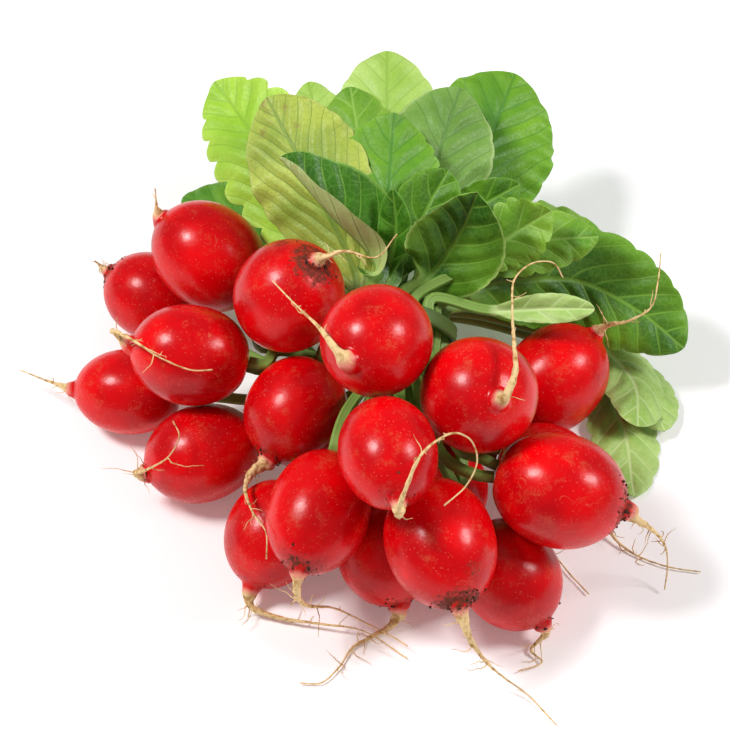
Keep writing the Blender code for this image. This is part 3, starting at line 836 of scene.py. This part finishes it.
@dataclass
class Studio:
    """A white sheet, two soft boxes, even light all round, and the camera."""

    camera_place: tuple[float, float, float] = (-11.3, -471.2, 578.5)
    camera_tilt: float = 40.0
    lens: float = 113.0
    boxes: tuple[tuple[tuple[float, float, float], float, float], ...] = (
        ((-0.54, -0.07, 0.83), 0.22, 7.0), ((0.70, -0.08, 0.70), 0.22, 4.8))
    box_distance: float = 0.95
    sky: float = 0.24
    floor_reach: float = 2.5
    floor_glow: float = 0.12

    def build(self) -> None:
        """Set up the floor, the lights and the camera."""
        mesh = bpy.data.meshes.new("studio_floor")
        reach = self.floor_reach
        mesh.from_pydata([(-reach, -reach, 0), (reach, -reach, 0), (reach, reach, 0), (-reach, reach, 0)],
                         [], [(0, 1, 2, 3)])
        paper, _, shader = bare_material("white_paper_sheet")
        shader.inputs["Base Color"].default_value = srgb("#FBFBFB")
        shader.inputs["Roughness"].default_value = 0.9
        # A faint glow of its own keeps the sheet white between the soft boxes' pools of light.
        shader.inputs["Emission Color"].default_value = srgb("#FFFFFF")
        shader.inputs["Emission Strength"].default_value = self.floor_glow
        mesh.materials.append(paper)
        floor = bpy.data.objects.new("studio_floor", mesh)
        bpy.context.scene.collection.objects.link(floor)
        for number, (towards, size, power) in enumerate(self.boxes, 1):
            light = bpy.data.lights.new(f"soft_box_{number}", "AREA")
            light.shape, light.size, light.energy = "SQUARE", size, power
            box = bpy.data.objects.new(light.name, light)
            direction = Vector(unit(towards))
            box.location = direction * self.box_distance
            box.rotation_euler = direction.to_track_quat("Z", "Y").to_euler()
            bpy.context.scene.collection.objects.link(box)
        world = bpy.data.worlds.new("even_light")
        world.use_nodes = True
        back = world.node_tree.nodes["Background"]
        back.inputs["Color"].default_value = (1.0, 1.0, 1.0, 1.0)
        back.inputs["Strength"].default_value = self.sky
        bpy.context.scene.world = world
        bpy.context.scene.view_settings.view_transform = "Standard"
        camera = bpy.data.objects.new("camera", bpy.data.cameras.new("camera"))
        camera.data.lens, camera.data.clip_start = self.lens, 0.01
        camera.location = Vector(np.array(self.camera_place) * MM + SHIFT)
        camera.rotation_euler = Euler((math.radians(self.camera_tilt), 0.0, 0.0))
        bpy.context.scene.collection.objects.link(camera)
        bpy.context.scene.camera = camera
        LOG.info("studio: floor, %d soft boxes and camera", len(self.boxes))


RADISHES = (
    # middle, direction of the root, girth, length, route of the root, what differs from the usual
    Radish("radish_01", (-60, 32, 37), (-0.78, 0.41, 0.48), 32.3, 38, ((-76, 40, 50), (-76, 41, 58)),
           root_radius=1.7, hairs=3, hair_length=5, dirt=0.1, crumbs=0),
    Radish("radish_02", (-80, 35.5, 14.3), (-0.86, 0.45, 0.25), 27.6, 31, ((-95, 43, 19), (-98, 44, 22)),
           hairs=10, hair_length=6, dirt=0.9, crumbs=70),
    Radish("radish_03", (-63.5, -11.5, 40.5), (-0.97, 0.0, 0.26), 30.2, 36, (
        (-85, -9, 47), (-86, -12, 52), (-80, -17, 54), (-71, -23, 52.5), (-62, -25.5, 50), (-56, -24.5, 49)),
           hairs=10, hair_length=9, dirt=0.3, crumbs=0),
    Radish("radish_04", (-84.5, -3.5, 13.5), (-1.0, 0.06, 0.0), 26.5, 33.6, ((-108, 1, 12), (-120, 9, 9)),
           hairs=4, hair_length=7, dirt=0.3, crumbs=0),
    Radish("radish_05", (-60.5, -29, 15), (-0.93, -0.36, -0.07), 29.3, 35.8, (
        (-80, -38, 17), (-76, -43, 25), (-69, -43, 31.5), (-66, -38, 34.5), (-68, -33, 35.5)),
           hairs=8, hair_length=14, dirt=0.6, crumbs=24),
    Radish("radish_06", (-32, -25.5, 31.5), (-0.47, -0.81, -0.35), 30, 33.3, (
        (-44.5, -45, 26.5), (-46, -56, 32), (-43, -69, 38), (-39, -79, 42), (-39, -84, 37)),
           root_radius=1.9, hairs=14, hair_length=8, dirt=0.75, crumbs=26),
    Radish("radish_07", (-34, -1.5, 56), (0.46, -0.04, 0.89), 32.8, 35.2, (
        (-22, -4, 76), (-17, -4, 78), (-8, -5, 76.5), (-2, 0, 81)),
           root_radius=1.6, hairs=9, hair_length=6, dirt=1.0, crumbs=80),
    Radish("radish_08", (-8, -34.5, 73.5), (-0.46, -0.78, 0.42), 31.5, 33.8, (
        (-20, -46, 85), (-24, -38, 83), (-31, -24, 77), (-38, -12, 74)),
           root_radius=1.7, hairs=8, hair_length=7, dirt=0.25, crumbs=0),
    Radish("radish_09", (-24.5, -68.5, 38.5), (-0.27, -0.95, -0.15), 29.3, 38, (
        (-30.5, -91, 31), (-28, -88, 20), (-20, -83, 11), (-10.5, -85, 6), (-3, -89, 5), (1, -92, 5)),
           hairs=9, hair_length=10, dirt=0.8, crumbs=40),
    Radish("radish_10", (-5, -68, 65), (0.15, -0.98, 0.04), 27.7, 33.9, (
        (-2, -90, 66), (-2.5, -93, 72), (-0.5, -92, 80), (3, -87, 87), (8, -81, 87), (13, -77, 85),
        (17.5, -76, 80), (19, -79, 75), (16, -84, 71), (10, -90, 70)),
           root_radius=1.3, hairs=10, hair_length=6, dirt=0.65, crumbs=14),
    Radish("radish_11", (10, -79.5, 38.5), (0.26, -0.94, -0.22), 31.6, 38.5, (
        (17, -103, 29), (22, -104, 17), (28, -103, 6), (35, -106, 1.5), (43, -116, 1)),
           root_radius=1.6, hairs=10, hair_length=9, dirt=1.0, crumbs=80),
    Radish("radish_12", (21, -44.5, 61.5), (0.27, -0.67, 0.69), 33.4, 34.8, (
        (27.5, -58, 78), (30, -53, 82), (30, -44, 83), (30, -32, 84), (31, -22, 86), (36, -18, 88),
        (42, -17, 87), (45, -18, 82)),
           root_radius=1.5, hairs=9, hair_length=7, dirt=0.3, crumbs=0),
    Radish("radish_13", (47, -2, 17.5), (0.67, 0.5, 0.55), 31.1, 37.8, (
        (63, 6, 34), (69, 1, 42), (75, 2, 47), (77, 8, 52), (78, 15, 57)),
           hairs=7, hair_length=10, dirt=0.3, crumbs=0),
    Radish("radish_14", (44, -63.5, 42), (0.95, -0.29, -0.09), 33.2, 38.8, (
        (66, -70, 37), (73, -68, 27), (77, -66, 16), (78, -67, 7), (77.5, -70, 2)),
           root_radius=1.7, hairs=11, hair_length=9, dirt=0.9, crumbs=60),
    Radish("radish_15", (-38.5, -59, 15), (-0.36, -0.83, -0.43), 28.1, 32.9, (
        (-45, -77, 4), (-38, -80, 2.5), (-24, -83, 3), (-12, -86, 4), (1, -94, 1.5)),
           hairs=8, hair_length=10),
    Radish("radish_16", (-5.5, -65.5, 15.2), (0.25, -0.86, -0.45), 28.8, 32.7, (
        (-3, -83, 3.5), (-9, -86, 1.2), (-15, -90, 1), (-19, -97, 1), (-24, -102, 1), (-30, -102, 1)),
           root_radius=1.7, hairs=11, hair_length=9, dirt=0.7, crumbs=30),
    Radish("radish_17", (30.5, -74, 15.3), (0.57, -0.72, -0.40), 29.5, 34.2, (
        (41, -88, 5), (37, -91, 1.6), (40, -95, 1.2), (33, -98, 1)), hairs=9, hair_length=7, crumbs=14),
    Radish("radish_18", (43, -34.5, 14.5), (0.94, -0.26, -0.21), 27.2, 31.1, (
        (61, -43, 6), (63, -50, 2.5), (69, -56, 1), (79, -61, 1), (89, -63, 1)), hairs=14),
    Radish("radish_19", (10.5, -39.5, 14.8), (0.73, -0.52, -0.44), 28.2, 32.1, (
        (27, -50.5, 4), (36, -53, 2), (45, -57, 1.2), (50, -64, 1), (55, -71, 1)), hairs=14),
)

LEAF_ROWS = (
    # radish, slot, route from the crown to the band, start, middle and tip of the blade, half width,
    # upper side faces, fold in degrees, and then how the blade looks
    (8, (4, 0), ((-1, -12, 59), (-12, -8, 47.5)), (-7, 14, 51), (-21, 22, 67), (-37, 32, 80),
     15.5, (0.5, 0.1, 0.9), 48, dict(tone=LeafTone.INNER, tooth_depth=0.01, wave=0.5, early=6.0, widest=0.95)),
    (8, (4, 1), ((6, -15, 59), (-4, -12, 44)), (-3.5, 17, 51), (-2, 20, 62), (-3, 26, 73),
     5.5, (-0.4, -0.8, 0.4), 15, dict(tone=LeafTone.INNER, tooth_depth=0.01, wave=0.4)),
    (10, (4, 2), ((-8.5, -44.5, 57), (-6, -35, 50), (0, -20, 44)), (9, 14, 49), (18, 19, 64),
     (22, 20, 78), 17.5, (-0.1, -0.9, 0.3), 30, dict(tone=LeafTone.CUPPED, tooth_depth=0.012, wave=0.9,
                                                    early=4.0, widest=0.95, fullness=0.45)),
    (12, (4, 3), ((9, -22, 43), (4, -13, 40)), (19, 15, 50), (35, 23, 58), (45, 24, 66),
     11, (0.2, -0.6, 0.8), 12, dict(tooth_depth=0.09, teeth=8.0, early=0.0)),
    (12, (4, 4), ((15, -23, 42), (9, -13, 39)), (26, 6, 41), (43, 3, 45), (58, 2, 46),
     5, (0.1, -0.6, 0.8), 22, dict(tone=LeafTone.PALE, tooth_depth=0.02, wave=0.5, early=0.0)),
    (7, (3, 0), ((-42, 1, 29), (-25, 2, 37.5)), (-14, 16, 45), (-28, 40, 63), (-42, 65, 74),
     19, (-0.3, -0.45, 0.85), -14, dict(tone=LeafTone.OLIVE, tooth_depth=0.015, wave=1.1, vein_slope=1.8)),
    (6, (3, 1), ((-20, -9, 41), (-16, -10, 39)), (-6, 21, 47), (-4, 40, 62), (-2, 60, 72),
     17, (0.1, -0.7, 0.7), -10, dict(tone=LeafTone.BRIGHT, tooth_depth=0.06, teeth=10.0)),
    (9, (3, 2), ((-17, -38, 45), (-7, -13, 37)), (1, 22, 48), (8, 32, 60), (14, 40, 67),
     11, (0, -0.8, 0.6), 12, dict(tone=LeafTone.DEEP)),
    (11, (3, 3), ((0, -50, 46), (-1, -16, 36)), (11, 25, 46), (23, 34, 56), (36, 39, 62),
     8, (0.1, -0.7, 0.7), 10, dict(tone=LeafTone.DEEP)),
    (14, (3, 4), ((12, -53, 43), (4, -16, 36)), (17, 18, 47), (41, 24, 52), (60, 24, 54),
     10, (0.2, -0.5, 0.8), -8, dict(tooth_depth=0.06)),
    (14, (3, 5), ((16, -47, 40), (11, -20, 35)), (52, 25, 34), (73, 17, 29), (88, 8, 21),
     18, (0.1, -0.75, 0.66), -6, dict(tone=LeafTone.DEEP, tooth_depth=0.035, teeth=11.0, early=36.0,
                                      widest=1.05)),
    (1, (2, 0), ((-35, 15, 23), (-24, -2, 26)), (-21, 23, 38), (-41, 58, 53), (-60, 89, 58),
     19, (-0.2, -0.6, 0.75), -8, dict(tone=LeafTone.LIME, tooth_depth=0.10, teeth=10.0, wave=1.2)),
    (3, (2, 1), ((-38, -7, 37), (-18, -6, 31)), (-15, 32, 38), (-24, 68, 45), (-30, 99, 49),
     13.5, (0, -0.6, 0.8), -6, dict(tone=LeafTone.SOFT)),
    (6, (2, 2), ((-18, -8, 36), (-12, -9, 32)), (-7, 34, 43), (-12, 58, 54), (-16, 84, 60),
     14.5, (0, -0.7, 0.7), -6, dict(tooth_depth=0.05)),
    (9, (2, 3), ((-14, -38, 38), (-6, -14, 31)), (3, 34, 44), (12, 57, 58), (19, 78, 66),
     18, (0.05, -0.75, 0.65), -8, dict(tone=LeafTone.GREYISH, tooth_depth=0.02, wave=1.2)),
    (11, (2, 4), ((4, -47, 40), (2, -17, 31)), (13, 30, 39), (23, 42, 41), (34, 55, 41),
     8, (0.1, -0.6, 0.8), -6, dict(tone=LeafTone.DEEP)),
    (17, (2, 5), ((12, -47, 31.5), (7, -16, 30)), (22, 26, 34), (45, 38, 34), (63, 49, 28),
     13, (0.2, -0.5, 0.85), -6, dict()),
    (18, (2, 6), ((19, -27, 24), (14, -18, 27)), (60, 21, 11), (73, 4, 9.5), (73, -15, 11),
     11, (0.3, -0.2, 0.9), -8, dict(tone=LeafTone.PALE, wave=0.5)),
    (2, (1, 0), ((-51, 18, 8), (-26, -3, 20)), (-25, 28, 26), (-47, 60, 22), (-72, 81, 13),
     14.5, (-0.1, -0.3, 0.95), -6, dict(tone=LeafTone.BRIGHT)),
    (3, (1, 1), ((-37, -7, 30), (-17, -6, 25)), (-16, 36, 29), (-33, 66, 36), (-47, 95, 38),
     15.5, (-0.1, -0.4, 0.9), -6, dict()),
    (15, (1, 2), ((-22, -39, 23), (-14, -28, 26)), (-3, 45, 35), (-4, 78, 46), (-4, 110, 52),
     18, (0, -0.6, 0.8), -6, dict(tone=LeafTone.SOFT, tooth_depth=0.015)),
    (16, (1, 3), ((-9, -38, 30), (-3, -20, 29)), (12, 42, 34), (27, 70, 46), (38, 98, 54),
     22.5, (0.1, -0.6, 0.8), -6, dict(tone=LeafTone.BRIGHT, tooth_depth=0.02, wave=1.3)),
    (17, (1, 4), ((17, -42, 31), (8, -16, 25)), (20, 36, 25), (45, 52, 22), (66, 62, 16),
     15.5, (0.2, -0.3, 0.9), -6, dict(tooth_depth=0.05)),
    (13, (1, 5), ((23, -16, 5), (13, -10, 22)), (60, 20, 6.8), (76, 4, 5.8), (82, -12, 5),
     11, (0.2, -0.1, 0.95), -6, dict(tone=LeafTone.PALE, wave=0.4)),
    (4, (0, 0), ((-30, -9, 16), (-18, -5, 20)), (-20, 32, 16), (-40, 50, 11), (-58, 68, 4),
     15.5, (0, 0, 1), -5, dict(wave=0.7)),
    (5, (0, 1), ((-35, -18, 16), (-14, -8, 19)), (-12, 40, 18), (-24, 66, 17), (-32, 92, 9),
     15.5, (0, 0, 1), -5, dict(tone=LeafTone.DEEP, wave=0.7)),
    (16, (0, 2), ((-13, -37, 22), (-7, -13, 21)), (0, 44, 20), (0, 72, 22), (-1, 100, 16),
     17, (0, 0, 1), -5, dict(wave=0.8)),
    (19, (0, 3), ((-6, -23, 25), (0, -9, 22)), (10, 38, 18), (24, 66, 16), (34, 92, 8),
     15.5, (0, 0, 1), -5, dict(tone=LeafTone.BRIGHT, wave=0.8)),
    (18, (0, 4), ((14, -20, 17), (9, -11, 19)), (59, 18, 3), (69, -8, 2.6), (71, -36, 2.2),
     11, (0.1, 0, 1), -4, dict(tone=LeafTone.PALE, tooth_depth=0.05, wave=0.3)),
)


def grow_leaves() -> list[Leaf]:
    """Return the leaves, each told which radish it grew on and which slot its twin is in."""
    leaves = []
    for number, (radish, slot, vias, start, middle, tip, width, faces, fold, look) in enumerate(LEAF_ROWS, 1):
        twins = [row[1] for row in LEAF_ROWS if row[0] == radish and row[1] != slot]
        leaves.append(Leaf(f"leaf_{number:02d}", RADISHES[radish - 1], slot, twins[0] if twins else None,
                           vias, start, middle, tip, width, faces, fold, **look))
    return leaves


def main() -> None:
    """Build the bunch, then the studio."""
    logging.basicConfig(level=logging.INFO, format="%(message)s")
    skin = RadishSkin().make()
    for radish in RADISHES:
        radish.build(skin)
    blades = {tone: tone.value.make() for tone in LeafTone}
    for leaf in grow_leaves():
        leaf.build(blades[leaf.tone])
    Band().build(GreenRubber().make())
    SoilCrumbs(list(RADISHES)).build(GardenSoil().make())
    Studio().build()


if __name__ == "__main__":
    main()
